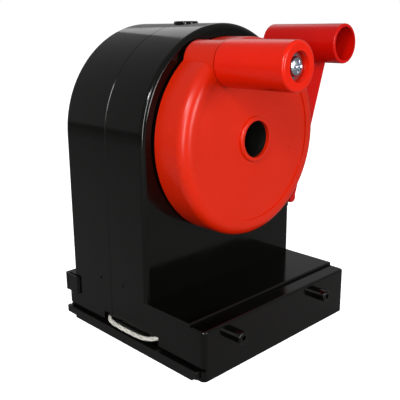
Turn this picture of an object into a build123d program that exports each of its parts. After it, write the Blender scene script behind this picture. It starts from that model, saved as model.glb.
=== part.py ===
from build123d import *
import math
import os

# Hand-cranked desktop pencil sharpener, in millimetres.
# X runs to the right seen from the crank side, Y runs back through the casing, +Z is up.
# Y = 0 is the casing's front wall, Z = 0 is the desk.

# Overall sizes
width = 85.0            # casing and base, side to side
front_depth = 30.3      # base in front of the casing's front wall
case_depth = 48.0       # casing, front wall to rear wall
seam = 21.8             # front shell to rear shell joint, behind the front wall
arch_z = 79.3           # height of the arch centre, which is the crank's axis
deck_h = 20.5           # top of the base in front of the casing
ledge_drop = 1.1        # step from the deck down to the front ledge
ledge_d = 6.9           # depth of the front ledge
wall = 2.2              # moulded wall
edge_r = 1.85           # outer edge rounding
seam_chamfer = 0.18     # shadow line where the shells meet
stand = 0.2             # how far the feet hold the shells off the desk

# Rear plinth and bumper
plinth_d = 4.2          # plinth behind the rear wall
plinth_h = 19.2
bumper_t = 1.2
bumper_z = 11.4
bumper_h = 7.4
bumper_wrap = 8.6       # how far the bumper runs round each side

# Tray, its opening in the left side and its pull cord
slot_top = 5.4          # top of the tray opening
lip_front_gap = 2.0     # the tray's lip stops this far behind the base's front
lip_t = 1.7
lip_top = 4.2
lip_step = 1.3          # the lip's lower edge is shorter from here down
skirt_front_gap = 4.4
skirt_rear_gap = 6.6
groove_d = 1.0          # shadow groove over the lip, from front to back
pan_front = -19.0
pan_rear = case_depth - 10.0
pan_gap = 0.3           # running gap at each side of the pan
pan_t = 1.0
cord_r = 0.85
cord_front = -4.5       # where the loop's two ends enter
cord_rear = 25.5
cord_z = 7.2
horn_w = 2.8            # the tray's upright that holds a cord end
horn_len = 5.8
horn_in = 2.1
notch_gap = 0.3

# Floor plate and feet
plate_t = 1.2
foot_r = 4.0
foot_t = 1.0

# Crank wheel
wheel_r = 37.6
wheel_gap = 1.0         # wheel's back face to the casing
wheel_front = 15.8      # wheel's rim in front of the casing
wheel_round = 4.2
rim_w = 6.2             # from the wheel's edge to the recessed face
face_sink = 0.5
collar_r = 8.6
collar_lip = 0.8
collar_rise = 0.6       # collar in front of the rim
wheel_skin = 3.4

# Hub, bearing and cutter drive
pencil_r = 7.05         # way through the hub
hub_r = 9.0
run = 0.05              # radial running clearance
bush_t = 1.55
bush_len = 9.0
flange_r = 16.0
flange_t = 2.0
axle_off = 12.0         # cutter axis below the crank axis
spindle_r = 2.0
module = 1.0
ring_teeth = 36
pinion_teeth = 12
backlash = 0.08
gear_t = 4.8
cutter_len = case_depth - 28.0
cutter_small = 7.7
cutter_big = 11.2
cutter_flutes = 12
post_r = 2.0

# Knob
knob_x = -15.7
knob_up = 28.7          # above the crank axis
knob_r = 8.37
knob_front = 46.7
lug_r = 8.0
axle_r = 3.0
knob_screw_r = 3.3
screw_r = 1.5

# Steadying lever on the right-hand side
tube_x = 61.7
tube_z = 112.75
tube_r = 8.46
tube_wall = 1.3
tube_front = -12.7
tube_rear = 26.5
arm_front = 1.2
arm_t = 3.0
pivot_x = width / 2 + 3.1
pivot_z = 44.6
eye_r = 2.4
pivot_r = 1.25

# Front posts and top plug
post_left_x = -27.5
post_right_x = 23.2
stud_z = 14.0
stud_r = 2.4
stud_len = 5.0
stud_shank_r = 1.7
stud_hole_r = 0.9
plug_r = 4.9
plug_stem_r = 4.0
plug_rise = 0.85

# Fasteners
head_r = 2.9
head_t = 2.2

# Derived sizes shared by several pieces
half = width / 2
inner = half - wall
front_y = -front_depth
ledge_h = deck_h - ledge_drop
back_in = case_depth - wall
total_h = arch_z + half
boss_spots = [(-33.5, 30.0), (33.5, 30.0), (-25.0, arch_z + 25.7), (25.0, arch_z + 25.7)]
boss_r = 3.2
rear_boss_r = 4.3
seat_y = seam + 5.2
pilot_depth = 12.0
plate_top = stand + plate_t
rear_face = case_depth + plinth_d
lip_front = front_y + lip_front_gap
slot_front = pan_front - pan_gap - 1
slot_rear = pan_rear + pan_gap + 1
floor_posts = [(-34.0, front_y + wall + 2.8), (34.0, front_y + wall + 2.8)]
rear_posts = [(-34.0, back_in - 2.8), (34.0, back_in - 2.8)]
floor_post_r = 3.0
foot_spots = [(x, y) for x in (-34.0, 34.0) for y in (front_y + 17, back_in - 11)] + [(0.0, 0.0)]
bush_r = hub_r + run + bush_t
flange_y = bush_len + 0.4
pinion_y = flange_y + flange_t + 0.3
cutter_y = pinion_y + gear_t + 0.9
plate_y = cutter_y + cutter_len + 0.2
ring_y = bush_len - 0.8
ring_root = module * ring_teeth / 2 + 1.25 * module
ring_out = ring_root + 2.8
ring_flange_r = 28.5
ring_post_at = 25.2
cutter_z = arch_z - axle_off
knob_z = arch_z + knob_up
lug_front = wheel_front + 0.5
knob_seat = knob_front - 2.8
arm_back = arm_front + arm_t
bracket_y = arm_back + 0.5

os.makedirs("parts", exist_ok=True)


def upright(y):
    """Plane at depth y whose sketch axes are X and Z and whose extrusion runs to the front."""
    return Plane(origin=(0, y, 0), x_dir=(1, 0, 0), z_dir=(0, -1, 0))


def rod(x, z, radius, y0, y1, mode=Mode.ADD):
    """Round bar along Y from depth y0 to depth y1."""
    with BuildSketch(upright(y1)) as shape:
        with Locations((x, z)):
            Circle(radius)
    extrude(shape.sketch, amount=y1 - y0, mode=mode)


def block(x0, x1, y0, y1, z0, z1, mode=Mode.ADD):
    """Square-edged block between the given limits."""
    with BuildSketch(Plane.XY.offset(z0)) as shape:
        with Locations(((x0 + x1) / 2, (y0 + y1) / 2)):
            Rectangle(x1 - x0, y1 - y0)
    extrude(shape.sketch, amount=z1 - z0, mode=mode)


def pillar(x, y, radius, z0, z1, mode=Mode.ADD):
    """Round bar along Z."""
    with BuildSketch(Plane.XY.offset(z0)) as shape:
        with Locations((x, y)):
            Circle(radius)
    extrude(shape.sketch, amount=z1 - z0, mode=mode)


def arch(reach, z0, y0, y1, mode=Mode.ADD):
    """Tombstone prism: straight sides up to the arch centre, then a half round."""
    with BuildSketch(upright(y1)) as shape:
        with Locations((0, (arch_z + z0) / 2)):
            Rectangle(2 * reach, arch_z - z0)
        with Locations((0, arch_z)):
            Circle(reach)
    extrude(shape.sketch, amount=y1 - y0, mode=mode)


def side_dimple(y, z):
    """Shallow round witness mark in the left side."""
    with BuildSketch(Plane(origin=(-half, y, z), x_dir=(0, 1, 0), z_dir=(1, 0, 0))) as shape:
        Circle(0.6)
    extrude(shape.sketch, amount=0.25, mode=Mode.SUBTRACT)


def cord_notch(y):
    """Notch up from the tray opening that clears the tray's horn and the cord."""
    reach = horn_w / 2 + notch_gap
    top = cord_z + cord_r + 0.6 + notch_gap
    block(-half - 1, -inner + 0.01, y - reach, y + reach, stand, top, Mode.SUBTRACT)


def polar(radius, angle):
    """Point at a radius and an angle in degrees."""
    return (radius * math.cos(math.radians(angle)), radius * math.sin(math.radians(angle)))


def involute(angle):
    return math.tan(angle) - angle


def gear_outline(teeth, middle_z, inner_r, outer_r, slack):
    """Closed outline of involute teeth about a centre, one tooth pointing straight down."""
    pitch_r = module * teeth / 2
    base_r = pitch_r * math.cos(math.radians(20))
    points = []
    for index in range(teeth):
        middle = -90 + 360 * index / teeth
        flank = []
        for step in range(5):
            radius = inner_r + (outer_r - inner_r) * step / 4
            pressure = math.acos(base_r / max(radius, base_r))
            spread = math.pi / (2 * teeth) + slack / pitch_r
            spread += involute(math.radians(20)) - involute(pressure)
            flank.append((radius, math.degrees(spread)))
        points += [polar(radius, middle - spread) for radius, spread in flank]
        points += [polar(radius, middle + spread) for radius, spread in reversed(flank)]
    return [(x, z + middle_z) for x, z in points]


# Front shell: casing front half and the base box in one moulding
with BuildPart() as front_shell:
    arch(half, stand, 0, seam)
    block(-half, half, front_y, seam, stand, deck_h)
    block(-half - 1, half + 1, front_y - 1, front_y + ledge_d, ledge_h, deck_h + 1, Mode.SUBTRACT)
    rim = front_shell.edges().filter_by_position(Axis.Y, -0.01, 0.01)
    rim = rim.filter_by_position(Axis.Z, deck_h + 1, total_h + 1)
    fillet(rim, edge_r)
    posts = front_shell.edges().filter_by(Axis.Z).filter_by_position(Axis.Y, front_y - 0.1, front_y + 0.1)
    fillet(posts, edge_r)
    brow = front_shell.faces().filter_by(Axis.Z).filter_by_position(Axis.Z, ledge_h - 0.01, ledge_h + 0.01)
    brow = brow.edges().filter_by_position(Axis.Y, front_y - 0.1, front_y + edge_r)
    fillet(brow, 0.9)
    step_edge = front_shell.edges().filter_by(Axis.X).filter_by_position(Axis.Z, deck_h - 0.01, deck_h + 0.01)
    step_edge = step_edge.filter_by_position(Axis.Y, front_y + ledge_d - 0.1, front_y + ledge_d + 0.1)
    fillet(step_edge, 0.6)
    joint_line = front_shell.edges().filter_by_position(Axis.Y, seam - 0.01, seam + 0.01)
    chamfer(joint_line.filter_by_position(Axis.Z, stand + 1, total_h + 1), seam_chamfer)
    arch(inner, stand, wall, seam, Mode.SUBTRACT)
    block(-inner, inner, front_y + wall, seam, stand, deck_h - wall, Mode.SUBTRACT)
    block(-half - 1, -inner, slot_front, seam, stand, slot_top, Mode.SUBTRACT)
    block(-half - 1, -half + groove_d, front_y - 1, seam, lip_top, slot_top, Mode.SUBTRACT)
    cord_notch(cord_front)
    rod(0, arch_z, bush_r + 2.9, 0, bush_len)
    rod(0, arch_z, bush_r, 0, bush_len, Mode.SUBTRACT)
    for angle in (90, 210, 330):
        px, pz = polar(ring_post_at, angle)
        rod(px, arch_z + pz, boss_r, wall / 2, ring_y)
        rod(px, arch_z + pz, screw_r, wall + 1, ring_y, Mode.SUBTRACT)
    for bx, bz in boss_spots:
        rod(bx, bz, boss_r, wall / 2, seam)
        rod(bx, bz, screw_r, seam - pilot_depth, seam, Mode.SUBTRACT)
    for fx, fy in floor_posts:
        pillar(fx, fy, floor_post_r, plate_top, 12)
        pillar(fx, fy, screw_r, plate_top, 10, Mode.SUBTRACT)
    for sx in (post_left_x, post_right_x):
        rod(sx, stud_z, stud_shank_r, front_y, front_y + wall, Mode.SUBTRACT)
    side_dimple(12.8, 88.8)
    side_dimple(13.8, 23.6)
    pillar(0, seam, plug_stem_r, arch_z + inner - 2, total_h + 1, Mode.SUBTRACT)
    for bz in (pivot_z - 2.6, pivot_z + 2.6):
        with BuildSketch(Plane(origin=(inner - 1, bracket_y + 3.6, bz), x_dir=(0, 1, 0), z_dir=(1, 0, 0))):
            Circle(screw_r)
        extrude(amount=wall + 2, mode=Mode.SUBTRACT)
front_shell.part.label = "front_shell"
export_step(front_shell.part, "parts/front_shell.step")

# Rear shell: casing rear half with the plinth
with BuildPart() as rear_shell:
    arch(half, stand, seam, case_depth)
    rim = rear_shell.edges().filter_by_position(Axis.Y, case_depth - 0.01, case_depth + 0.01)
    rim = rim.filter_by_position(Axis.Z, stand + 1, total_h + 1)
    fillet(rim, edge_r)
    block(-half, half, case_depth - edge_r - 0.5, case_depth + plinth_d, stand, plinth_h)
    shoulders = rear_shell.edges().filter_by_position(Axis.Y, case_depth + plinth_d - 0.01, case_depth + plinth_d + 0.01)
    shoulders = shoulders.filter_by_position(Axis.Z, stand + 1, plinth_h + 1)
    fillet(shoulders, 1.2)
    joint_line = rear_shell.edges().filter_by_position(Axis.Y, seam - 0.01, seam + 0.01)
    chamfer(joint_line.filter_by_position(Axis.Z, stand + 1, total_h + 1), seam_chamfer)
    arch(inner, stand, seam, back_in, Mode.SUBTRACT)
    block(-half - 1, -inner, seam, slot_rear, stand, slot_top, Mode.SUBTRACT)
    block(-half - 1, -half + groove_d, seam, rear_face + 1, lip_top, slot_top, Mode.SUBTRACT)
    cord_notch(cord_rear)
    for bx, bz in boss_spots:
        rod(bx, bz, rear_boss_r, seam, back_in + wall / 2)
        rod(bx, bz, screw_r + 0.15, seam, seat_y, Mode.SUBTRACT)
        rod(bx, bz, head_r + 0.2, seat_y, case_depth + plinth_d + 1, Mode.SUBTRACT)
    for fx, fy in rear_posts:
        pillar(fx, fy, floor_post_r, plate_top, 12)
        pillar(fx, fy, screw_r, plate_top, 10, Mode.SUBTRACT)
    side_dimple(26.3, 89.0)
    side_dimple(28.0, 23.2)
    pillar(0, seam, plug_stem_r, arch_z + inner - 2, total_h + 1, Mode.SUBTRACT)
rear_shell.part.label = "rear_shell"
export_step(rear_shell.part, "parts/rear_shell.step")

# Four long screws that draw the two shells together
with BuildPart() as case_screws:
    for bx, bz in boss_spots:
        rod(bx, bz, screw_r, seam - pilot_depth, seat_y + 0.1)
        rod(bx, bz, head_r, seat_y, seat_y + head_t)
        with BuildSketch(upright(seat_y + head_t)):
            with Locations((bx, bz)):
                Rectangle(3.6, 0.8)
                Rectangle(0.8, 3.6)
        extrude(amount=1.3, mode=Mode.SUBTRACT)
case_screws.part.label = "case_screws"
export_step(case_screws.part, "parts/case_screws.step")

# Floor plate with the tray's rails
with BuildPart() as floor_plate:
    block(-inner, inner, front_y + wall, back_in, stand, plate_top)
    block(-half, -inner + 1, slot_front, slot_rear, stand, plate_top)
    block(-inner, 39.3, pan_front - pan_gap - 1, pan_front - pan_gap, plate_top - 0.2, plate_top + 2)
    block(-inner, 39.3, pan_rear + pan_gap, pan_rear + pan_gap + 1, plate_top - 0.2, plate_top + 2)
    block(38.3, 39.3, pan_front - pan_gap - 1, pan_rear + pan_gap + 1, plate_top - 0.2, plate_top + 2)
    for fx, fy in floor_posts + rear_posts:
        with BuildSketch(Plane.XY.offset(stand)):
            with Locations((fx, fy)):
                Circle(head_r)
        with BuildSketch(Plane.XY.offset(plate_top)):
            with Locations((fx, fy)):
                Circle(screw_r)
        loft(mode=Mode.SUBTRACT)
    for fx, fy in foot_spots:
        pillar(fx, fy, foot_r, stand, foot_t, Mode.SUBTRACT)
floor_plate.part.label = "floor_plate"
export_step(floor_plate.part, "parts/floor_plate.step")

# Countersunk screws of the floor plate
with BuildPart() as plate_screws:
    for fx, fy in floor_posts + rear_posts:
        with BuildSketch(Plane.XY.offset(stand)):
            with Locations((fx, fy)):
                Circle(head_r)
        with BuildSketch(Plane.XY.offset(plate_top)):
            with Locations((fx, fy)):
                Circle(screw_r)
        loft()
        pillar(fx, fy, screw_r, plate_top, 9)
        with BuildSketch(Plane.XY.offset(stand)):
            with Locations((fx, fy)):
                Rectangle(2.8, 0.6)
                Rectangle(0.6, 2.8)
        extrude(amount=0.9, mode=Mode.SUBTRACT)
plate_screws.part.label = "plate_screws"
export_step(plate_screws.part, "parts/plate_screws.step")

# Four round feet and a middle pad, let into the floor plate
with BuildPart() as feet:
    for fx, fy in foot_spots:
        pillar(fx, fy, foot_r, 0, foot_t)
    soles = feet.edges().filter_by(GeomType.CIRCLE).filter_by_position(Axis.Z, -0.01, 0.01)
    fillet(soles, 0.25)
feet.part.label = "feet"
export_step(feet.part, "parts/feet.step")

# Bumper clipped round the rear of the base
with BuildPart() as rear_bumper:
    block(-half - bumper_t, half + bumper_t, rear_face - bumper_wrap, rear_face + bumper_t, bumper_z,
          bumper_z + bumper_h)
    corners = rear_bumper.edges().filter_by(Axis.Z)
    fillet(corners, 1.2)
    block(-half, half, rear_face - bumper_wrap - 1, rear_face, bumper_z - 1, bumper_z + bumper_h + 1,
          Mode.SUBTRACT)
    for side in (-1, 1):
        block(side * half - 1.3, side * half + 1.3, rear_face - 1.25, rear_face, bumper_z,
              bumper_z + bumper_h)
    add(rear_shell.part, mode=Mode.SUBTRACT)
rear_bumper.part.label = "rear_bumper"
export_step(rear_bumper.part, "parts/rear_bumper.step")

# Shavings tray that slides out to the left
with BuildPart() as shavings_tray:
    floor_z = plate_top + 0.1
    block(-half - 0.1, pan_rear, pan_front, pan_rear, floor_z, lip_top)
    block(-half + pan_t, pan_rear - pan_t, pan_front + pan_t, pan_rear - pan_t, floor_z + 0.9, lip_top + 1,
          Mode.SUBTRACT)
    block(-half - 0.1 - lip_t, -half - 0.1, lip_front, rear_face, lip_step, lip_top)
    ends = shavings_tray.edges().filter_by(Axis.Z).filter_by_position(Axis.X, -half - 0.2 - lip_t, -half - lip_t)
    fillet(ends, 0.8)
    block(-half - 0.1 - lip_t, -half - 0.1, front_y + skirt_front_gap, rear_face - skirt_rear_gap, stand + 0.1,
          lip_step)
    crown = shavings_tray.edges().filter_by(Axis.Y).filter_by_position(Axis.X, -half - 0.2 - lip_t, -half - lip_t)
    crown = crown.filter_by_position(Axis.Z, lip_top - 0.1, lip_top + 0.1)
    fillet(crown, 0.35)
    for cy in (cord_front, cord_rear):
        block(-half + horn_in, -half + 1.1 + horn_len, cy - horn_w / 2, cy + horn_w / 2, floor_z + 0.2,
              cord_z + cord_r + 0.5)
        with BuildSketch(Plane(origin=(-half, cy, cord_z), x_dir=(0, 1, 0), z_dir=(1, 0, 0))):
            Circle(cord_r)
        extrude(amount=horn_len + 0.3, mode=Mode.SUBTRACT)
shavings_tray.part.label = "shavings_tray"
export_step(shavings_tray.part, "parts/shavings_tray.step")

# Braided pull loop, its two ends bedded in the tray's horns
cord_points = [
    (-half + horn_len + 0.3, cord_rear, cord_z),
    (-half - 1.8, cord_rear, cord_z),
    (-half - 1.9, cord_rear - 15.5, cord_z - 0.9),
    (-half - 1.8, cord_front, cord_z),
    (-half + horn_len + 0.3, cord_front, cord_z),
]
cord_radii = []
for before, corner, after in zip(cord_points, cord_points[1:], cord_points[2:]):
    into = Vector(*corner) - Vector(*before)
    out = Vector(*after) - Vector(*corner)
    turn = math.radians(into.get_angle(out))
    cord_radii.append(round(0.45 * min(into.length, out.length) / math.tan(turn / 2), 3))
with BuildPart() as pull_cord:
    with BuildLine() as cord_line:
        FilletPolyline(*cord_points, radius=cord_radii)
    with BuildSketch(Plane(origin=cord_line.line @ 0, z_dir=cord_line.line % 0)):
        Circle(cord_r)
    sweep()
pull_cord.part.label = "pull_cord"
export_step(pull_cord.part, "parts/pull_cord.step")
cord_section = math.pi * cord_r ** 2
cord_length = sum(edge.length for edge in cord_line.edges())
print("cord radii", cord_radii, "length", round(cord_length, 2))
print("cord volume", round(pull_cord.part.volume, 2), "section x length", round(cord_section * cord_length, 2))

# Domed plug in the crown of the casing, over the seam
with BuildPart() as top_plug:
    pillar(0, seam, plug_r, total_h - 1, total_h + plug_rise)
    crown = top_plug.edges().filter_by(GeomType.CIRCLE).sort_by(Axis.Z)[-1]
    fillet(crown, 0.75)
    rod(0, arch_z, half, seam - 8, seam + 8, Mode.SUBTRACT)
    pillar(0, seam, plug_stem_r, arch_z + inner - 0.8, total_h + 0.1)
top_plug.part.label = "top_plug"
export_step(top_plug.part, "parts/top_plug.step")

# Two short posts standing out of the base's front
with BuildPart() as front_posts:
    for sx in (post_left_x, post_right_x):
        rod(sx, stud_z, stud_shank_r, front_y, front_y + wall + 1)
        rod(sx, stud_z, stud_r, front_y - stud_len, front_y)
        rod(sx, stud_z, stud_r + 0.4, front_y + wall, front_y + wall + 1)
    tips = front_posts.edges().filter_by(GeomType.CIRCLE)
    tips = tips.filter_by_position(Axis.Y, front_y - stud_len - 0.01, front_y - stud_len + 0.01)
    fillet(tips, 0.5)
    for sx in (post_left_x, post_right_x):
        rod(sx, stud_z, stud_hole_r, front_y - stud_len, front_y - stud_len + 3, Mode.SUBTRACT)
front_posts.part.label = "front_posts"
export_step(front_posts.part, "parts/front_posts.step")

# Flanged bush that carries the hub
with BuildPart() as hub_bush:
    rod(0, arch_z, bush_r, -0.01, bush_len)
    rod(0, arch_z, bush_r + 1.8, -0.5, 0)
    rod(0, arch_z, hub_r + run, -1, bush_len, Mode.SUBTRACT)
hub_bush.part.label = "hub_bush"
export_step(hub_bush.part, "parts/hub_bush.step")

# Fixed internal ring gear on its three posts
with BuildPart() as ring_gear:
    ring_len = pinion_y + gear_t + 0.2 - ring_y
    rod(0, arch_z, ring_flange_r, ring_y, ring_y + 2)
    rod(0, arch_z, ring_out, ring_y, ring_y + ring_len)
    rod(0, arch_z, flange_r + 1.8, ring_y, ring_y + ring_len - gear_t - 0.4, Mode.SUBTRACT)
    with BuildSketch(upright(ring_y + ring_len)):
        with BuildLine():
            Polyline(*gear_outline(ring_teeth, arch_z, ring_root - 2.05 * module, ring_root, backlash),
                     close=True)
        make_face()
    extrude(amount=gear_t + 0.41, mode=Mode.SUBTRACT)
    for angle in (90, 210, 330):
        px, pz = polar(ring_post_at, angle)
        rod(px, arch_z + pz, screw_r, ring_y, ring_y + 2, Mode.SUBTRACT)
ring_gear.part.label = "ring_gear"
export_step(ring_gear.part, "parts/ring_gear.step")

# Screws that hold the ring gear
with BuildPart() as ring_screws:
    for angle in (90, 210, 330):
        px, pz = polar(ring_post_at, angle)
        rod(px, arch_z + pz, screw_r, wall + 1.2, ring_y + 2.1)
        rod(px, arch_z + pz, head_r, ring_y + 2, ring_y + 4)
ring_screws.part.label = "ring_screws"
export_step(ring_screws.part, "parts/ring_screws.step")

# Crank wheel with its rim lug
with BuildPart() as crank_wheel:
    rod(0, arch_z, wheel_r, -wheel_front, -wheel_gap)
    nose = crank_wheel.edges().filter_by_position(Axis.Y, -wheel_front - 0.01, -wheel_front + 0.01)
    fillet(nose, wheel_round)
    with BuildSketch(upright(-wheel_front + face_sink)):
        with Locations((0, arch_z)):
            Circle(wheel_r - rim_w)
            Circle(collar_r, mode=Mode.SUBTRACT)
    extrude(amount=face_sink + 1, mode=Mode.SUBTRACT)
    with BuildSketch(upright(-wheel_gap)):
        with Locations((0, arch_z)):
            Circle(wheel_r - wheel_skin)
            Circle(hub_r + 3.4, mode=Mode.SUBTRACT)
    extrude(amount=wheel_front - wheel_gap - wheel_round, mode=Mode.SUBTRACT)
    with BuildSketch(upright(-wheel_gap - 1.5)):
        with Locations((0, arch_z)):
            with PolarLocations((wheel_r + hub_r) / 2, 5, start_angle=42):
                Rectangle(wheel_r - hub_r - 4, 1.8)
    extrude(amount=wheel_front - wheel_gap - 4)
    rod(knob_x, knob_z, lug_r, -lug_front, -wheel_gap - 0.6)
    rod(0, arch_z, collar_r, -wheel_front - collar_rise, -wheel_front + face_sink + 0.5)
    bead = crank_wheel.edges().filter_by_position(
        Axis.Y, -wheel_front - collar_rise - 0.01, -wheel_front - collar_rise + 0.01
    )
    fillet(bead, 0.65)
    rod(0, arch_z, hub_r, -wheel_front + collar_lip, -wheel_gap, Mode.SUBTRACT)
    rod(0, arch_z, pencil_r, -wheel_front - 1, -wheel_gap, Mode.SUBTRACT)
    rod(knob_x, knob_z, axle_r, -lug_front, -4, Mode.SUBTRACT)
crank_wheel.part.label = "crank_wheel"
export_step(crank_wheel.part, "parts/crank_wheel.step")

# Hub tube with the cutter carrier's front flange
with BuildPart() as hub_tube:
    rod(0, arch_z, hub_r, -wheel_front + collar_lip, flange_y + 0.1)
    rod(0, arch_z, flange_r, flange_y, flange_y + flange_t)
    rod(0, arch_z, pencil_r, -wheel_front, flange_y + flange_t, Mode.SUBTRACT)
    rod(0, cutter_z, spindle_r + run, flange_y + 0.5, flange_y + flange_t, Mode.SUBTRACT)
hub_tube.part.label = "hub_tube"
export_step(hub_tube.part, "parts/hub_tube.step")

# Two posts that join the carrier's plates
with BuildPart() as carrier_posts:
    for angle in (35, 145):
        px, pz = polar(12.5, angle)
        rod(px, arch_z + pz, post_r, flange_y + flange_t, plate_y)
carrier_posts.part.label = "carrier_posts"
export_step(carrier_posts.part, "parts/carrier_posts.step")

# Carrier's rear plate
with BuildPart() as carrier_plate:
    rod(0, arch_z, flange_r, plate_y, plate_y + 2)
    rod(0, arch_z, 4, plate_y, plate_y + 2, Mode.SUBTRACT)
    rod(0, cutter_z, spindle_r + run, plate_y, plate_y + 2, Mode.SUBTRACT)
carrier_plate.part.label = "carrier_plate"
export_step(carrier_plate.part, "parts/carrier_plate.step")

# Cutter spindle
with BuildPart() as cutter_spindle:
    rod(0, cutter_z, spindle_r, flange_y + 0.55, plate_y + 2.8)
cutter_spindle.part.label = "cutter_spindle"
export_step(cutter_spindle.part, "parts/cutter_spindle.step")

# Clip that keeps the spindle in the rear plate
with BuildPart() as spindle_clip:
    rod(0, cutter_z, spindle_r + 1.4, plate_y + 2.05, plate_y + 2.65)
    rod(0, cutter_z, spindle_r, plate_y + 2.05, plate_y + 2.65, Mode.SUBTRACT)
spindle_clip.part.label = "spindle_clip"
export_step(spindle_clip.part, "parts/spindle_clip.step")

# Pinion that runs round inside the ring gear
with BuildPart() as pinion:
    pinion_pitch = module * pinion_teeth / 2
    with BuildSketch(upright(pinion_y + gear_t)):
        with BuildLine():
            Polyline(*gear_outline(pinion_teeth, cutter_z, pinion_pitch - 1.2 * module,
                                   pinion_pitch + 0.85 * module, -backlash), close=True)
        make_face()
    extrude(amount=gear_t)
    rod(0, cutter_z, 4.2, pinion_y + gear_t, cutter_y)
    rod(0, cutter_z, spindle_r, pinion_y, cutter_y, Mode.SUBTRACT)
pinion.part.label = "pinion"
export_step(pinion.part, "parts/pinion.step")

# Tapered cutter with twisted flutes
with BuildPart() as cutter:
    for cy, big, turn in ((cutter_y + cutter_len, cutter_big, 26), (cutter_y, cutter_small, 0)):
        outline = []
        for index in range(cutter_flutes):
            start = turn + 360 * index / cutter_flutes
            outline.append(polar(big, start))
            outline.append(polar(big * 0.86, start + 4))
            outline.append(polar(big * 0.93, start + 18))
        with BuildSketch(upright(cy)):
            with BuildLine():
                Polyline(*[(x, z + cutter_z) for x, z in outline], close=True)
            make_face()
    loft(ruled=True)
    rod(0, cutter_z, spindle_r, cutter_y, cutter_y + cutter_len, Mode.SUBTRACT)
cutter.part.label = "cutter"
export_step(cutter.part, "parts/cutter.step")

# Knob: axle in the lug, turning sleeve, washer and end screw
with BuildPart() as knob_axle:
    rod(knob_x, knob_z, axle_r, -knob_seat - 0.1, -4)
    rod(knob_x, knob_z, screw_r, -knob_seat - 0.1, -knob_seat + 9, Mode.SUBTRACT)
knob_axle.part.label = "knob_axle"
export_step(knob_axle.part, "parts/knob_axle.step")

with BuildPart() as knob_sleeve:
    rod(knob_x, knob_z, knob_r, -knob_front, -lug_front - 0.2)
    ends = knob_sleeve.edges().filter_by(GeomType.CIRCLE)
    fillet(ends, 1.1)
    rod(knob_x, knob_z, axle_r + run, -knob_front, -lug_front, Mode.SUBTRACT)
    rod(knob_x, knob_z, 5.0, -knob_front, -knob_seat, Mode.SUBTRACT)
knob_sleeve.part.label = "knob_sleeve"
export_step(knob_sleeve.part, "parts/knob_sleeve.step")

with BuildPart() as knob_washer:
    rod(knob_x, knob_z, 4.6, -knob_seat - 0.7, -knob_seat - 0.1)
    rod(knob_x, knob_z, screw_r, -knob_seat - 0.7, -knob_seat, Mode.SUBTRACT)
knob_washer.part.label = "knob_washer"
export_step(knob_washer.part, "parts/knob_washer.step")

with BuildPart() as knob_screw:
    rod(knob_x, knob_z, screw_r, -knob_seat - 0.7, -knob_seat + 8)
    rod(knob_x, knob_z, knob_screw_r, -knob_seat - 2.5, -knob_seat - 0.7)
    dome = knob_screw.edges().filter_by_position(Axis.Y, -knob_seat - 2.51, -knob_seat - 2.49)
    fillet(dome, 0.9)
    with BuildSketch(upright(-knob_seat - 1.5)):
        with Locations((knob_x, knob_z)):
            Rectangle(3.4, 0.7)
            Rectangle(0.7, 3.4)
    extrude(amount=2, mode=Mode.SUBTRACT)
knob_screw.part.label = "knob_screw"
export_step(knob_screw.part, "parts/knob_screw.step")

# Open grip tube of the steadying lever
with BuildPart() as grip_tube:
    rod(tube_x, tube_z, tube_r, tube_front, tube_rear)
    mouths = grip_tube.edges().filter_by(GeomType.CIRCLE)
    fillet(mouths, 0.5)
    rod(tube_x, tube_z, tube_r - tube_wall, tube_front, tube_rear, Mode.SUBTRACT)
grip_tube.part.label = "grip_tube"
export_step(grip_tube.part, "parts/grip_tube.step")

# Tapered arm of the steadying lever, its saddle welded to the grip tube
with BuildPart() as lever_arm:
    with BuildSketch(upright(arm_back)):
        with Locations((tube_x, tube_z)):
            Circle(tube_r)
        with Locations((pivot_x, pivot_z)):
            Circle(eye_r)
        make_hull()
    extrude(amount=arm_t)
    rod(tube_x, tube_z, tube_r, arm_front, arm_back, Mode.SUBTRACT)
    rod(pivot_x, pivot_z, pivot_r + run, arm_front, arm_back, Mode.SUBTRACT)
lever_arm.part.label = "lever_arm"
export_step(lever_arm.part, "parts/lever_arm.step")

# Bracket on the casing's right side that carries the lever's pivot
with BuildPart() as lever_bracket:
    block(half, half + 6.2, bracket_y, bracket_y + 7.2, pivot_z - 5, pivot_z + 5)
    outer = lever_bracket.edges().filter_by_position(Axis.X, half + 6.19, half + 6.21)
    fillet(outer, 1.2)
    rod(pivot_x, pivot_z, pivot_r, bracket_y, bracket_y + 7.2, Mode.SUBTRACT)
    for bz in (pivot_z - 2.6, pivot_z + 2.6):
        with BuildSketch(Plane(origin=(half, bracket_y + 3.6, bz), x_dir=(0, 1, 0), z_dir=(1, 0, 0))):
            Circle(screw_r)
        extrude(amount=1.4, mode=Mode.SUBTRACT)
lever_bracket.part.label = "lever_bracket"
export_step(lever_bracket.part, "parts/lever_bracket.step")

with BuildPart() as bracket_screws:
    for bz in (pivot_z - 2.6, pivot_z + 2.6):
        with BuildSketch(Plane(origin=(inner, bracket_y + 3.6, bz), x_dir=(0, 1, 0), z_dir=(1, 0, 0))):
            Circle(screw_r)
        extrude(amount=wall + 1.4)
        with BuildSketch(Plane(origin=(inner - 1.4, bracket_y + 3.6, bz), x_dir=(0, 1, 0), z_dir=(1, 0, 0))):
            Circle(screw_r + 0.9)
        extrude(amount=1.4)
bracket_screws.part.label = "bracket_screws"
export_step(bracket_screws.part, "parts/bracket_screws.step")

with BuildPart() as pivot_pin:
    rod(pivot_x, pivot_z, pivot_r, arm_front - 0.1, bracket_y + 7.2)
    rod(pivot_x, pivot_z, eye_r - 0.4, arm_front - 0.7, arm_front - 0.1)
pivot_pin.part.label = "pivot_pin"
export_step(pivot_pin.part, "parts/pivot_pin.step")

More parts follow.
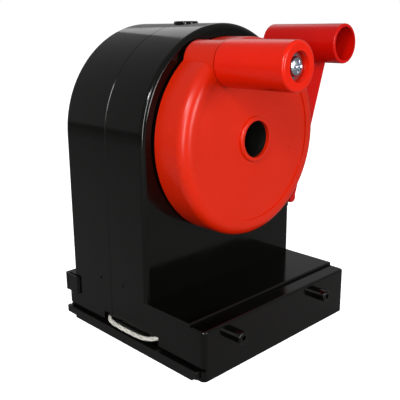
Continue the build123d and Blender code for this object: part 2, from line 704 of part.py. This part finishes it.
with BuildPart() as lever_washer:
    rod(pivot_x, pivot_z, eye_r, arm_back + 0.1, bracket_y)
    rod(pivot_x, pivot_z, pivot_r, arm_back, bracket_y, Mode.SUBTRACT)
lever_washer.part.label = "lever_washer"
export_step(lever_washer.part, "parts/lever_washer.step")
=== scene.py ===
"""Hand-cranked desktop pencil sharpener: the visible pieces, their finishes and a plain studio."""

import logging
import math
from dataclasses import dataclass, field
from enum import Enum
from typing import Any, Sequence

import bmesh
import bpy
from mathutils import Matrix, Vector

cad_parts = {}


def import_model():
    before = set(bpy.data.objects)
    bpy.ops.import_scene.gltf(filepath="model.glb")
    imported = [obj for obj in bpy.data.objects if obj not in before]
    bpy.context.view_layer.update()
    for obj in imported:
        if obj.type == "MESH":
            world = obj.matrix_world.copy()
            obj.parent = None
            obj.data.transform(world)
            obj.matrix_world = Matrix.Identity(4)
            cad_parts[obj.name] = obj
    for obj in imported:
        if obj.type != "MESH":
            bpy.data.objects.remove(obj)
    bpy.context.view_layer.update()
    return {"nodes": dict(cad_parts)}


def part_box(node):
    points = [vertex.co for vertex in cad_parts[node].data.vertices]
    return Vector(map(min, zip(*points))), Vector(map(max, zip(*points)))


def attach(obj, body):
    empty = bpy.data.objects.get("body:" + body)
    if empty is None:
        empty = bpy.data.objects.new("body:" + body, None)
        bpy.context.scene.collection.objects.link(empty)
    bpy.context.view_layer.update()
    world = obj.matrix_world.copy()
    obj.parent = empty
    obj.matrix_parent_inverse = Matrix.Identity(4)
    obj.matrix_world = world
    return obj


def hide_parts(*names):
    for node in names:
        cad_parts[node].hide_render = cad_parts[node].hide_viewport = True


log = logging.getLogger("sharpener")
MM = 0.001
Colour = tuple[float, float, float, float]
Nodes = dict[str, bpy.types.Object]
Socket = bpy.types.NodeSocket
Ring = list[bmesh.types.BMVert]
WHITE: Colour = (1.0, 1.0, 1.0, 1.0)


class Shade(Enum):
    """The moulders', platers' and spinners' colours, in sRGB hex."""

    BLACK = "050504"
    SOFT_BLACK = "0A0A09"
    WHEEL_RED = "CC2002"
    KNOB_RED = "DA1A00"
    LEVER_RED = "C40C04"
    ZINC = "AEB4C0"
    STEEL = "9C9C9A"
    ACETAL = "D8D4C8"
    YARN = "DEDBD2"
    DUST = "8A8883"
    PAPER = "F6F6F6"


def linear(shade: Shade) -> Colour:
    """Turn a shade's sRGB hex into linear RGBA.

    Args:
        shade: The named colour.

    Returns:
        Linear red, green, blue and an alpha of one.
    """
    parts = [int(shade.value[i : i + 2], 16) / 255 for i in (0, 2, 4)]
    red, green, blue = (c / 12.92 if c <= 0.04045 else ((c + 0.055) / 1.055) ** 2.4 for c in parts)
    return red, green, blue, 1.0


def per_mm(size_mm: float) -> float:
    """Texture scale whose features are about size_mm across, for coordinates in metres."""
    return 1.0 / (size_mm * MM)


def grey(value: float) -> Colour:
    """A linear grey with full alpha."""
    return value, value, value, 1.0


def tint(colour: Colour, factor: float) -> Colour:
    """A linear colour made lighter or darker by a factor."""
    return min(colour[0] * factor, 1), min(colour[1] * factor, 1), min(colour[2] * factor, 1), 1.0


def add_node(
    tree: bpy.types.NodeTree,
    kind: str,
    settings: dict[str | int, Any] | None = None,
    links: dict[str | int, Any] | None = None,
) -> bpy.types.Node:
    """Add a shader node.

    Args:
        tree: The material's node tree.
        kind: Blender's node type name.
        settings: Socket values by name or number, or node properties where no socket has that name.
        links: Output sockets to plug into the named or numbered inputs.

    Returns:
        The new node.
    """
    node = tree.nodes.new(kind)
    for name, value in (settings or {}).items():
        if isinstance(name, int) or name in node.inputs:
            node.inputs[name].default_value = value
        else:
            setattr(node, name, value)
    for name, source in (links or {}).items():
        tree.links.new(source, node.inputs[name])
    return node


def ramp(tree: bpy.types.NodeTree, source: Socket, stops: Sequence[tuple[float, Colour]]) -> Socket:
    """Map a value onto colours.

    Args:
        tree: The material's node tree.
        source: The socket that drives it.
        stops: Positions with their linear colours.

    Returns:
        The ramp's colour socket.
    """
    node = add_node(tree, "ShaderNodeValToRGB", links={"Fac": source})
    band = node.color_ramp
    while len(band.elements) < len(stops):
        band.elements.new(0.5)
    for element, (place, colour) in zip(band.elements, stops):
        element.position = place
        element.color = colour
    return node.outputs["Color"]


@dataclass(frozen=True)
class Finish:
    """What every finish shares: a name, a shade and the shader's plain values."""

    name: str
    shade: Shade
    roughness: float = 0.3
    ior: float = 1.5
    metallic: float = 0.0
    specular: float = 0.5

    def begin(self) -> tuple[bpy.types.Material, bpy.types.NodeTree, bpy.types.Node, Socket]:
        """Start a material.

        Returns:
            The material, its tree, its shader and the object coordinates.
        """
        material = bpy.data.materials.new(self.name)
        material.use_nodes = True
        tree = material.node_tree
        shader = tree.nodes["Principled BSDF"]
        shader.inputs["Base Color"].default_value = linear(self.shade)
        shader.inputs["Roughness"].default_value = self.roughness
        shader.inputs["Metallic"].default_value = self.metallic
        if not self.metallic:
            shader.inputs["IOR"].default_value = self.ior
        shader.inputs["Specular IOR Level"].default_value = self.specular
        place = add_node(tree, "ShaderNodeTexCoord").outputs["Object"]
        material.diffuse_color = linear(self.shade)
        return material, tree, shader, place

    def make(self) -> bpy.types.Material:
        """Build the material, as each kind of finish says."""
        raise NotImplementedError(self.name)


@dataclass(frozen=True)
class Moulded(Finish):
    """Injection-moulded ABS or nylon: glossy, faintly wavy like all moulded walls, with handling marks."""

    ripple_mm: float = 9.0
    ripple: float = 0.05
    grain_mm: float = 0.35
    grain: float = 0.02
    scuff_mm: float = 0.7
    wipe_mm: float = 16.0
    wipe: float = 0.06
    mottle: float = 0.06
    dust_mm: float = 1.1
    dust: float = 0.0

    def make(self) -> bpy.types.Material:
        """Build the material.

        Returns:
            A glossy plastic with slow ripples, fine grain, wiped patches, hairline scuffs and dust.
        """
        material, tree, shader, place = self.begin()
        base = linear(self.shade)
        # slow flow ripples of the moulding: they bend long reflections a little
        slow = add_node(
            tree, "ShaderNodeTexNoise", {"Scale": per_mm(self.ripple_mm), "Detail": 2.0}, {"Vector": place}
        )
        fine = add_node(
            tree, "ShaderNodeTexNoise", {"Scale": per_mm(self.grain_mm), "Detail": 3.0}, {"Vector": place}
        )
        wavy = add_node(
            tree,
            "ShaderNodeBump",
            {"Strength": self.ripple, "Distance": 0.6 * MM},
            {"Height": slow.outputs["Fac"]},
        )
        rough = add_node(
            tree,
            "ShaderNodeBump",
            {"Strength": self.grain, "Distance": 0.05 * MM},
            {"Height": fine.outputs["Fac"], "Normal": wavy.outputs["Normal"]},
        )
        # hairline scuffs run one way and break up the gloss where hands pass
        stretch = add_node(
            tree,
            "ShaderNodeMapping",
            {"Scale": (1.0, 0.12, 1.0), "Rotation": (0.3, 0.5, 0.2)},
            {"Vector": place},
        )
        scuff = add_node(
            tree,
            "ShaderNodeTexNoise",
            {"Scale": per_mm(self.scuff_mm), "Detail": 6.0, "Roughness": 0.7},
            {"Vector": stretch.outputs["Vector"]},
        )
        hair = ramp(tree, scuff.outputs["Fac"], [(0.66, grey(0.0)), (0.78, grey(1.0))])
        patch = add_node(
            tree, "ShaderNodeTexNoise", {"Scale": per_mm(self.wipe_mm), "Detail": 4.0}, {"Vector": place}
        )
        gloss = add_node(
            tree,
            "ShaderNodeMapRange",
            {
                "From Min": 0.35,
                "From Max": 0.7,
                "To Min": self.roughness,
                "To Max": self.roughness + self.wipe,
            },
            {"Value": patch.outputs["Fac"]},
        )
        worn = add_node(tree, "ShaderNodeMath", {"operation": "MULTIPLY", 1: 0.12}, {0: hair})
        total = add_node(
            tree,
            "ShaderNodeMath",
            {"operation": "ADD"},
            {0: gloss.outputs["Result"], 1: worn.outputs["Value"]},
        )
        tree.links.new(total.outputs["Value"], shader.inputs["Roughness"])
        # pigment is never quite even: patches a shade up and down
        tone = ramp(
            tree,
            patch.outputs["Fac"],
            [(0.3, tint(base, 1 - self.mottle)), (0.72, tint(base, 1 + self.mottle))],
        )
        if self.dust:
            speck = add_node(
                tree,
                "ShaderNodeTexNoise",
                {"Scale": per_mm(self.dust_mm), "Detail": 8.0, "Roughness": 0.8},
                {"Vector": place},
            )
            mask = ramp(tree, speck.outputs["Fac"], [(0.62, grey(0.0)), (0.8, grey(self.dust))])
            tone = add_node(
                tree, "ShaderNodeMix", {"data_type": "RGBA", 7: linear(Shade.DUST)}, {0: mask, 6: tone}
            ).outputs[2]
        tree.links.new(tone, shader.inputs["Base Color"])
        tree.links.new(rough.outputs["Normal"], shader.inputs["Normal"])
        return material


@dataclass(frozen=True)
class Turned(Finish):
    """Turned steel, bright or zinc plated: fine tool rings across its axis, cool and a little dull."""

    ring_mm: float = 1.5708
    ring: float = 0.12
    cloud_mm: float = 1.6
    spots: float = 0.1

    def make(self) -> bpy.types.Material:
        """Build the material.

        Returns:
            A metal with tool marks, cloudy plating and small dull spots.
        """
        material, tree, shader, place = self.begin()
        base = linear(self.shade)
        # real tool rings are a tenth as wide: they are drawn coarse enough to show
        marks = add_node(
            tree,
            "ShaderNodeTexWave",
            {
                "wave_type": "BANDS",
                "bands_direction": "Y",
                "Scale": per_mm(self.ring_mm) * math.tau / 20,
                "Distortion": 1.5,
                "Detail": 2.0,
            },
            {"Vector": place},
        )
        cloud = add_node(
            tree, "ShaderNodeTexNoise", {"Scale": per_mm(self.cloud_mm), "Detail": 5.0}, {"Vector": place}
        )
        bump = add_node(
            tree,
            "ShaderNodeBump",
            {"Strength": self.ring, "Distance": 0.04 * MM},
            {"Height": marks.outputs["Fac"]},
        )
        tone = ramp(
            tree,
            cloud.outputs["Fac"],
            [(0.3, tint(base, 1 - self.spots)), (0.7, tint(base, 1 + self.spots))],
        )
        dull = add_node(
            tree,
            "ShaderNodeMapRange",
            {"To Min": self.roughness - 0.06, "To Max": self.roughness + 0.14},
            {"Value": cloud.outputs["Fac"]},
        )
        tree.links.new(tone, shader.inputs["Base Color"])
        tree.links.new(dull.outputs["Result"], shader.inputs["Roughness"])
        tree.links.new(bump.outputs["Normal"], shader.inputs["Normal"])
        return material


@dataclass(frozen=True)
class Matte(Finish):
    """Moulded rubber or acetal: an even, fine-pored surface with a chalky bloom."""

    pore_mm: float = 0.3
    pore: float = 0.25
    bloom_mm: float = 7.0
    bloom: float = 0.25

    def make(self) -> bpy.types.Material:
        """Build the material.

        Returns:
            A matte material with pores and a patchy bloom.
        """
        material, tree, shader, place = self.begin()
        base = linear(self.shade)
        pores = add_node(tree, "ShaderNodeTexVoronoi", {"Scale": per_mm(self.pore_mm)}, {"Vector": place})
        cloud = add_node(
            tree, "ShaderNodeTexNoise", {"Scale": per_mm(self.bloom_mm), "Detail": 6.0}, {"Vector": place}
        )
        bump = add_node(
            tree,
            "ShaderNodeBump",
            {"Strength": self.pore, "Distance": 0.06 * MM},
            {"Height": pores.outputs["Distance"]},
        )
        tone = ramp(tree, cloud.outputs["Fac"], [(0.3, base), (0.75, tint(base, 1 + self.bloom))])
        dull = add_node(
            tree,
            "ShaderNodeMapRange",
            {"To Min": self.roughness - 0.08, "To Max": self.roughness + 0.1},
            {"Value": cloud.outputs["Fac"]},
        )
        tree.links.new(tone, shader.inputs["Base Color"])
        tree.links.new(dull.outputs["Result"], shader.inputs["Roughness"])
        tree.links.new(bump.outputs["Normal"], shader.inputs["Normal"])
        return material


@dataclass(frozen=True)
class Spun(Finish):
    """Spun cotton yarn: matte fibres that lie along each strand, with grey handling dirt."""

    fibre_mm: float = 0.12
    dirt_mm: float = 3.0

    def make(self) -> bpy.types.Material:
        """Build the material.

        Returns:
            A soft cotton with fibres, sheen, slight soiling and painted shade in the furrows.
        """
        material, tree, shader, place = self.begin()
        base = linear(self.shade)
        fibre = add_node(
            tree,
            "ShaderNodeTexNoise",
            {"Scale": per_mm(self.fibre_mm), "Detail": 4.0, "Roughness": 0.7},
            {"Vector": place},
        )
        dirt = add_node(
            tree, "ShaderNodeTexNoise", {"Scale": per_mm(self.dirt_mm), "Detail": 5.0}, {"Vector": place}
        )
        soiled = ramp(tree, dirt.outputs["Fac"], [(0.35, base), (0.8, tint(base, 0.7))])
        # painted shade: the furrows between the strands are darkened by how far each point stands out
        crest = add_node(tree, "ShaderNodeAttribute", {"attribute_name": "crest"}).outputs["Fac"]
        furrow_painted_shade = ramp(tree, crest, [(0.3, grey(0.12)), (0.72, grey(1.0))])
        tone = add_node(
            tree,
            "ShaderNodeMix",
            {"data_type": "RGBA", "blend_type": "MULTIPLY", 0: 1.0},
            {6: soiled, 7: furrow_painted_shade},
        ).outputs[2]
        bump = add_node(
            tree, "ShaderNodeBump", {"Strength": 0.6, "Distance": 0.08 * MM}, {"Height": fibre.outputs["Fac"]}
        )
        tree.links.new(tone, shader.inputs["Base Color"])
        tree.links.new(bump.outputs["Normal"], shader.inputs["Normal"])
        shader.inputs["Sheen Weight"].default_value = 0.3
        shader.inputs["Sheen Roughness"].default_value = 0.5
        return material


@dataclass
class Workshop:
    """Every material on the sharpener, made once and handed to the sub-assemblies."""

    # glossy ABS: near black, with clear reflections of the table and thin bright lines along its edges
    shell: Finish = Moulded("moulded gloss black ABS", Shade.BLACK, 0.1, 1.53, specular=0.28, dust=0.02)
    # the tray is a duller ABS, so its lip reads apart from the base
    tray: Finish = Moulded("moulded satin black ABS", Shade.SOFT_BLACK, 0.2, 1.53, specular=0.3, dust=0.03)
    # glass-filled nylon: matt and grainy, it takes the light evenly inside the casing
    nylon: Finish = Moulded("moulded matt black nylon", Shade.SOFT_BLACK, 0.42, 1.52, grain=0.1)
    # satin ABS: an orange red whose highlights are soft and wide
    wheel: Finish = Moulded(
        "moulded satin red ABS",
        Shade.WHEEL_RED,
        roughness=0.27,
        ior=1.53,
        specular=0.3,
        ripple=0.03,
        grain=0.05,
        mottle=0.03,
    )
    # hands keep the knob polished, so its highlights are tighter than the wheel's
    knob: Finish = Moulded(
        "moulded gloss red ABS",
        Shade.KNOB_RED,
        roughness=0.21,
        ior=1.53,
        specular=0.28,
        ripple=0.03,
        grain=0.04,
        mottle=0.03,
    )
    # a batch with more pigment: deeper and cooler than the wheel
    lever: Finish = Moulded(
        "moulded deep red ABS",
        Shade.LEVER_RED,
        roughness=0.24,
        ior=1.53,
        specular=0.2,
        ripple=0.03,
        grain=0.04,
        mottle=0.04,
    )
    # bluish plating with bright glints round the recess
    zinc: Finish = Turned("bright zinc plated steel", Shade.ZINC, 0.18, metallic=1.0)
    # plain turned steel: greyer and duller than the plating
    steel: Finish = Turned("turned bright steel", Shade.STEEL, 0.32, metallic=1.0)
    # rubber barely shines and shows its pores
    rubber: Finish = Matte("moulded black rubber", Shade.SOFT_BLACK, 0.62, 1.5, specular=0.12)
    # acetal is waxy and off-white
    acetal: Finish = Matte("moulded natural acetal", Shade.ACETAL, 0.4, 1.48, pore=0.1)
    # cotton scatters light and has no gloss
    yarn: Finish = Spun("spun white cotton", Shade.YARN, 0.85, 1.47)
    made: dict[str, bpy.types.Material] = field(default_factory=dict)

    def material(self, finish: Finish) -> bpy.types.Material:
        """Make a finish's material, or hand out the one already made.

        Args:
            finish: One of the workshop's finishes.

        Returns:
            Its material.
        """
        if finish.name not in self.made:
            self.made[finish.name] = finish.make()
        return self.made[finish.name]


@dataclass
class Assembly:
    """What every sub-assembly does: dress the pieces that keep their CAD shape, and add finer ones."""

    workshop: Workshop
    nodes: Nodes

    def dress(self, finish: Finish, *names: str) -> None:
        """Give kept pieces their finish.

        Args:
            finish: One of the workshop's finishes.
            names: The pieces' node names.
        """
        for name in names:
            mesh = self.nodes[name].data
            mesh.materials.clear()
            mesh.materials.append(self.workshop.material(finish))
            log.info("dressed %s in %s", name, finish.name)

    def build(self) -> None:
        """Dress and build the sub-assembly's pieces, as each one says."""
        raise NotImplementedError

    def add_piece(
        self, name: str, shape: bmesh.types.BMesh, body: str, slot: str, finish: Finish
    ) -> bpy.types.Object:
        """Put a finished shape in the scene as a named piece.

        Args:
            name: The piece's name.
            shape: Its closed shape, in metres in the shared frame; it is used up.
            body: The body that it rides on.
            slot: The record's material slot that it belongs to; not used.
            finish: One of the workshop's finishes.

        Returns:
            The linked object.
        """
        bmesh.ops.recalc_face_normals(shape, faces=shape.faces)
        mesh = bpy.data.meshes.new(name)
        shape.to_mesh(mesh)
        shape.free()
        mesh.materials.append(self.workshop.material(finish))
        for face in mesh.polygons:
            face.use_smooth = True
        piece = bpy.data.objects.new(name, mesh)
        bpy.context.scene.collection.objects.link(piece)
        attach(piece, body)
        log.info("built %s on %s: %d faces", name, body, len(mesh.polygons))
        return piece


@dataclass
class Tray(Assembly):
    """The shavings tray and its pull: a braided cotton loop, strands crossing over and under."""

    route: tuple[tuple[float, float, float], ...] = (
        (-0.0364, 0.0255, 0.0072),
        (-0.0443, 0.0255, 0.0072),
        (-0.0444, 0.0100, 0.0063),
        (-0.0443, -0.0045, 0.0072),
        (-0.0364, -0.0045, 0.0072),
    )
    radius: float = 0.85 * MM
    length: float = 42.8 * MM
    # a real braid of this cord repeats about every 2 mm: it is drawn coarse enough to show
    pitch: float = 4.2 * MM
    sides: int = 36
    strands: int = 3
    relief: float = 0.34
    smoothness: int = 60

    def build(self) -> None:
        self.dress(self.workshop.tray, "shavings_tray")
        line = self.centreline()
        piece = self.add_piece("braided_loop", self.braid(line), "tray", "cord_fabric", self.workshop.yarn)
        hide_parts("pull_cord")

    def centreline(self) -> list[Vector]:
        """Points along the cord's own smooth line.

        Returns:
            Evenly shared points of the route's spline.
        """
        curve = bpy.data.curves.new("cord_line", "CURVE")
        curve.dimensions = "3D"
        spline = curve.splines.new("NURBS")
        spline.points.add(len(self.route) - 1)
        for point, place in zip(spline.points, self.route):
            point.co = (*place, 1.0)
        spline.order_u = 3
        spline.use_endpoint_u = True
        spline.resolution_u = self.smoothness
        holder = bpy.data.objects.new("cord_line", curve)
        mesh = bpy.data.meshes.new_from_object(holder)
        line = [vertex.co.copy() for vertex in mesh.vertices]
        bpy.data.objects.remove(holder)
        bpy.data.meshes.remove(mesh)
        bpy.data.curves.remove(curve)
        return line

    def height(self, turn: float, along: float) -> float:
        """How far the braid stands out at a point.

        Args:
            turn: Angle round the cord, in radians.
            along: Distance along the cord, in metres.

        Returns:
            A share of the relief from zero, between strands, to one.
        """
        run = math.tau * along / self.pitch
        right, left = self.strands * turn + run, self.strands * turn - run
        over = 0.5 + 0.5 * math.cos((right + left) / 2) * math.cos((right - left) / 2)
        ridge_right = math.sqrt(abs(math.cos(right / 2)))
        ridge_left = math.sqrt(abs(math.cos(left / 2)))
        return over * ridge_right + (1 - over) * ridge_left

    def braid(self, line: Sequence[Vector]) -> bmesh.types.BMesh:
        """Sweep the braid along its line.

        Args:
            line: Points of the centreline.

        Returns:
            The closed cord, with how far each point stands out kept for the painted shade in its furrows.
        """
        cord = bmesh.new()
        crest = cord.verts.layers.float.new("crest")
        rings: list[Ring] = []
        along = 0.0
        side = Vector((0, 0, 1))
        for index, place in enumerate(line):
            ahead = (line[min(index + 1, len(line) - 1)] - line[max(index - 1, 0)]).normalized()
            side = (side - ahead * side.dot(ahead)).normalized()
            other = ahead.cross(side)
            if index:
                along += (place - line[index - 1]).length
            ring = []
            for step in range(self.sides):
                turn = math.tau * step / self.sides
                stand = self.height(turn, along)
                reach = self.radius * (1 - self.relief * (1 - stand))
                vert = cord.verts.new(place + reach * (math.cos(turn) * side + math.sin(turn) * other))
                vert[crest] = stand
                ring.append(vert)
            rings.append(ring)
        join_rings(cord, rings)
        cord.faces.new(list(reversed(rings[0])))
        cord.faces.new(rings[-1])
        return cord


@dataclass
class Crank(Assembly):
    """The wheel and its knob's axle, with the zinc plated pan-head screw sunk in the knob's end."""

    dome: float = 0.75 * MM
    head_thick: float = 1.8 * MM
    shank: float = 1.5 * MM
    # the crown ends at this share of the radius, and its edge drops by this share of what is left
    shoulder: float = 0.8
    skirt_drop: float = 0.8
    arm: float = 0.5 * MM
    arm_reach: float = 2.05 * MM
    arm_wall: float = 0.22 * MM
    arm_end: float = 0.35 * MM
    recess: float = 1.25 * MM
    recess_taper: float = 0.62
    rings: int = 44
    sides: int = 128

    def build(self) -> None:
        """Dress the wheel and axle, and raise the screw's head in place of the plain one."""
        self.dress(self.workshop.wheel, "crank_wheel")
        self.dress(self.workshop.steel, "knob_axle")
        self.dress(self.workshop.zinc, "knob_washer")
        piece = self.add_piece("pan_screw", self.screw(), "crank", "zinc_steel", self.workshop.zinc)
        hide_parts("knob_screw")

    def depth(self, across: float, upward: float, edge: float) -> float:
        """How far behind the head's highest point its surface lies.

        Args:
            across: Distance from the centre along X.
            upward: Distance from the centre along Z.
            edge: The head's radius.

        Returns:
            The depth in metres.
        """
        out = math.hypot(across, upward)
        share = out / edge
        crown = self.dome * share**2
        if share > self.shoulder:
            past = (share - self.shoulder) / (1 - self.shoulder)
            crown += (self.head_thick - self.dome) * past**3 * self.skirt_drop
        slot = 0.0
        for near, far in ((abs(across), abs(upward)), (abs(upward), abs(across))):
            wall = (self.arm - near) / self.arm_wall
            end = (self.arm_reach - far) / self.arm_end
            slot = max(slot, min(wall, end, 1.0))
        # the recess is deepest at its centre, as the driver's tip is tapered
        deep = self.recess * (1 - self.recess_taper * min(out / self.arm_reach, 1.0))
        return crown + slot * deep

    def screw(self) -> bmesh.types.BMesh:
        """Raise the head as a fine disc with its cross recess, and close its skirt behind.

        Returns:
            The closed screw.
        """
        low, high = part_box("knob_screw")
        middle = (low + high) / 2
        edge = (high.x - low.x) / 2
        back = low.y + self.head_thick
        screw = bmesh.new()
        turns = [math.tau * step / self.sides for step in range(self.sides)]
        centre = screw.verts.new((middle.x, low.y + self.depth(0, 0, edge), middle.z))
        rings: list[Ring] = []
        for index in range(1, self.rings + 1):
            out = edge * index / self.rings
            ring = []
            for turn in turns:
                x, z = out * math.cos(turn), out * math.sin(turn)
                ring.append(screw.verts.new((middle.x + x, low.y + self.depth(x, z, edge), middle.z + z)))
            rings.append(ring)
        for radius, y in ((edge, back), (self.shank, back), (self.shank, high.y)):
            spots = [(radius * math.cos(turn), radius * math.sin(turn)) for turn in turns]
            rings.append([screw.verts.new((middle.x + x, y, middle.z + z)) for x, z in spots])
        for step in range(self.sides):
            screw.faces.new((centre, rings[0][step], rings[0][(step + 1) % self.sides]))
        join_rings(screw, rings)
        screw.faces.new(rings[-1])
        return screw


@dataclass
class Knob(Assembly):
    """The sleeve that turns on the crank's axle."""

    def build(self) -> None:
        """Dress the sleeve."""
        self.dress(self.workshop.knob, "knob_sleeve")


@dataclass
class Casing(Assembly):
    """Two glossy shells, the plug over their seam, the posts, the bumper, the floor plate and the feet."""

    def build(self) -> None:
        """Dress the shells and what is fixed to them."""
        self.dress(self.workshop.shell, "front_shell", "rear_shell", "top_plug", "front_posts", "rear_bumper")
        self.dress(self.workshop.nylon, "floor_plate")
        self.dress(self.workshop.rubber, "feet")
        self.dress(self.workshop.zinc, "case_screws", "plate_screws")


@dataclass
class CutterDrive(Assembly):
    """The hub and its carrier, the tapered cutter and the ring gear that it rolls in."""

    def build(self) -> None:
        """Dress the works inside the casing."""
        self.dress(self.workshop.nylon, "hub_tube")
        self.dress(self.workshop.acetal, "hub_bush", "ring_gear")
        self.dress(self.workshop.zinc, "ring_screws")
        self.dress(self.workshop.steel, "carrier_posts", "carrier_plate")
        self.dress(self.workshop.steel, "cutter", "cutter_spindle", "spindle_clip", "pinion")


@dataclass
class GripLever(Assembly):
    """The red lever with its open tube, on a pin beside the casing."""

    def build(self) -> None:
        """Dress the lever and what holds it."""
        self.dress(self.workshop.lever, "lever_arm", "grip_tube", "pivot_pin")
        self.dress(self.workshop.shell, "lever_bracket")
        self.dress(self.workshop.zinc, "bracket_screws")
        self.dress(self.workshop.steel, "lever_washer")


@dataclass(frozen=True)
class Lamp:
    """One soft box: its place and its width and height in metres, and its power in watts."""

    name: str
    place: tuple[float, float, float]
    size: tuple[float, float]
    power: float


@dataclass
class Studio:
    """Pale floor, soft boxes, an even room and the camera."""

    floor_reach: float = 30.0
    floor_glow: float = 0.85
    table: float = 0.35
    room: float = 0.3
    aim: tuple[float, float, float] = (0.0, 0.0, 0.06)
    lamps: tuple[Lamp, ...] = (
        Lamp("key", (-0.75, -0.28, 0.62), (0.1, 0.1), 3.2),
        Lamp("strip", (-0.6, -0.5, 0.3), (0.1, 0.6), 3.8),
        Lamp("front", (0.2, -0.95, 0.22), (0.3, 0.3), 4.4),
        Lamp("rim", (0.5, 0.6, 0.6), (0.4, 0.4), 0.45),
    )
    eye: tuple[float, float, float] = (-0.181687, -0.170294, 0.120663)
    heading_deg: float = 43.646
    tilt_deg: float = -14.975
    roll_deg: float = -0.582
    lens_mm: float = 57.265
    shift: tuple[float, float] = (0.0237, -0.0091)

    def build(self) -> None:
        """Lay the floor, light the room, hang the lamps and set up the camera."""
        self.floor()
        self.light_room()
        for lamp in self.lamps:
            self.hang(lamp)
        self.camera()
        bpy.context.scene.view_settings.view_transform = "Standard"
        log.info("studio: %d lamps", len(self.lamps))

    def paper(self) -> bpy.types.Material:
        """White studio paper: chalky, and lit from below as well, so that it stays white.

        Returns:
            The floor's material.
        """
        material = bpy.data.materials.new("white studio paper")
        material.use_nodes = True
        tree = material.node_tree
        shader = tree.nodes["Principled BSDF"]
        shader.inputs["Base Color"].default_value = linear(Shade.PAPER)
        shader.inputs["Roughness"].default_value = 0.9
        shader.inputs["Specular IOR Level"].default_value = 0.1
        shader.inputs["Emission Color"].default_value = WHITE
        shader.inputs["Emission Strength"].default_value = self.floor_glow
        # black plastic mirrors a dimmer table than the eye sees, as when the white is a sheet lit on its own
        table = add_node(tree, "ShaderNodeBsdfDiffuse", {"Color": grey(self.table)})
        seen = add_node(tree, "ShaderNodeLightPath").outputs["Is Camera Ray"]
        both = add_node(
            tree, "ShaderNodeMixShader", links={0: seen, 1: table.outputs["BSDF"], 2: shader.outputs["BSDF"]}
        )
        tree.links.new(both.outputs["Shader"], tree.nodes["Material Output"].inputs["Surface"])
        return material

    def floor(self) -> None:
        """Lay a floor that is far larger than the view."""
        mesh = bpy.data.meshes.new("studio_floor")
        reach = self.floor_reach
        corners = [(-reach, -reach, 0), (reach, -reach, 0), (reach, reach, 0), (-reach, reach, 0)]
        mesh.from_pydata(corners, [], [(0, 1, 2, 3)])
        mesh.materials.append(self.paper())
        floor = bpy.data.objects.new("studio_floor", mesh)
        bpy.context.scene.collection.objects.link(floor)

    def light_room(self) -> None:
        """Fill the room with even white light."""
        world = bpy.data.worlds.new("studio")
        world.use_nodes = True
        tree = world.node_tree
        room = tree.nodes["Background"]
        room.inputs["Color"].default_value = WHITE
        room.inputs["Strength"].default_value = self.room
        # the wall behind is lit on its own, as in a shop's white cove
        wall = add_node(tree, "ShaderNodeBackground", {"Color": WHITE, "Strength": 1.0})
        seen = add_node(tree, "ShaderNodeLightPath").outputs["Is Camera Ray"]
        both = add_node(
            tree,
            "ShaderNodeMixShader",
            links={0: seen, 1: room.outputs["Background"], 2: wall.outputs["Background"]},
        )
        tree.links.new(both.outputs["Shader"], tree.nodes["World Output"].inputs["Surface"])
        bpy.context.scene.world = world

    def hang(self, lamp: Lamp) -> None:
        """Hang a soft box that faces the sharpener.

        Args:
            lamp: Its place, size and power.
        """
        light = bpy.data.lights.new(lamp.name, "AREA")
        light.shape = "RECTANGLE"
        light.size, light.size_y = lamp.size
        light.energy = lamp.power
        rig = bpy.data.objects.new(lamp.name, light)
        rig.location = lamp.place
        rig.rotation_euler = (Vector(self.aim) - Vector(lamp.place)).to_track_quat("-Z", "Y").to_euler()
        bpy.context.scene.collection.objects.link(rig)

    def camera(self) -> None:
        """Set the camera by its heading from +Y towards +X, its tilt and its roll."""
        heading, tilt, roll = (math.radians(a) for a in (self.heading_deg, self.tilt_deg, self.roll_deg))
        level = math.cos(tilt)
        ahead = Vector((math.sin(heading) * level, math.cos(heading) * level, math.sin(tilt)))
        right = Vector((math.cos(heading), -math.sin(heading), 0))
        above = right.cross(ahead)
        across = math.cos(roll) * right + math.sin(roll) * above
        upward = -math.sin(roll) * right + math.cos(roll) * above
        lens = bpy.data.cameras.new("camera")
        lens.sensor_width = 36.0
        lens.lens = self.lens_mm
        lens.shift_x, lens.shift_y = self.shift
        lens.clip_start = 0.01
        rig = bpy.data.objects.new("camera", lens)
        turn = Matrix((across, upward, -ahead)).transposed().to_4x4()
        rig.matrix_world = Matrix.Translation(self.eye) @ turn
        bpy.context.scene.collection.objects.link(rig)
        bpy.context.scene.camera = rig


def join_rings(shape: bmesh.types.BMesh, rings: Sequence[Ring]) -> None:
    """Skin neighbouring rings of equal count with quads.

    Args:
        shape: The mesh that holds the rings.
        rings: The rings in order.
    """
    for first, second in zip(rings, rings[1:]):
        for step in range(len(first)):
            after = (step + 1) % len(first)
            shape.faces.new((first[step], first[after], second[after], second[step]))


def main() -> None:
    """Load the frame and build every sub-assembly in order."""
    logging.basicConfig(level=logging.INFO, format="%(name)s: %(message)s")
    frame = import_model()
    Studio().build()
    workshop = Workshop()
    for assembly in (Tray, Crank, Knob, Casing, CutterDrive, GripLever):
        assembly(workshop, frame["nodes"]).build()
        log.info("finished the %s", assembly.__name__)


if __name__ == "__main__":
    main()
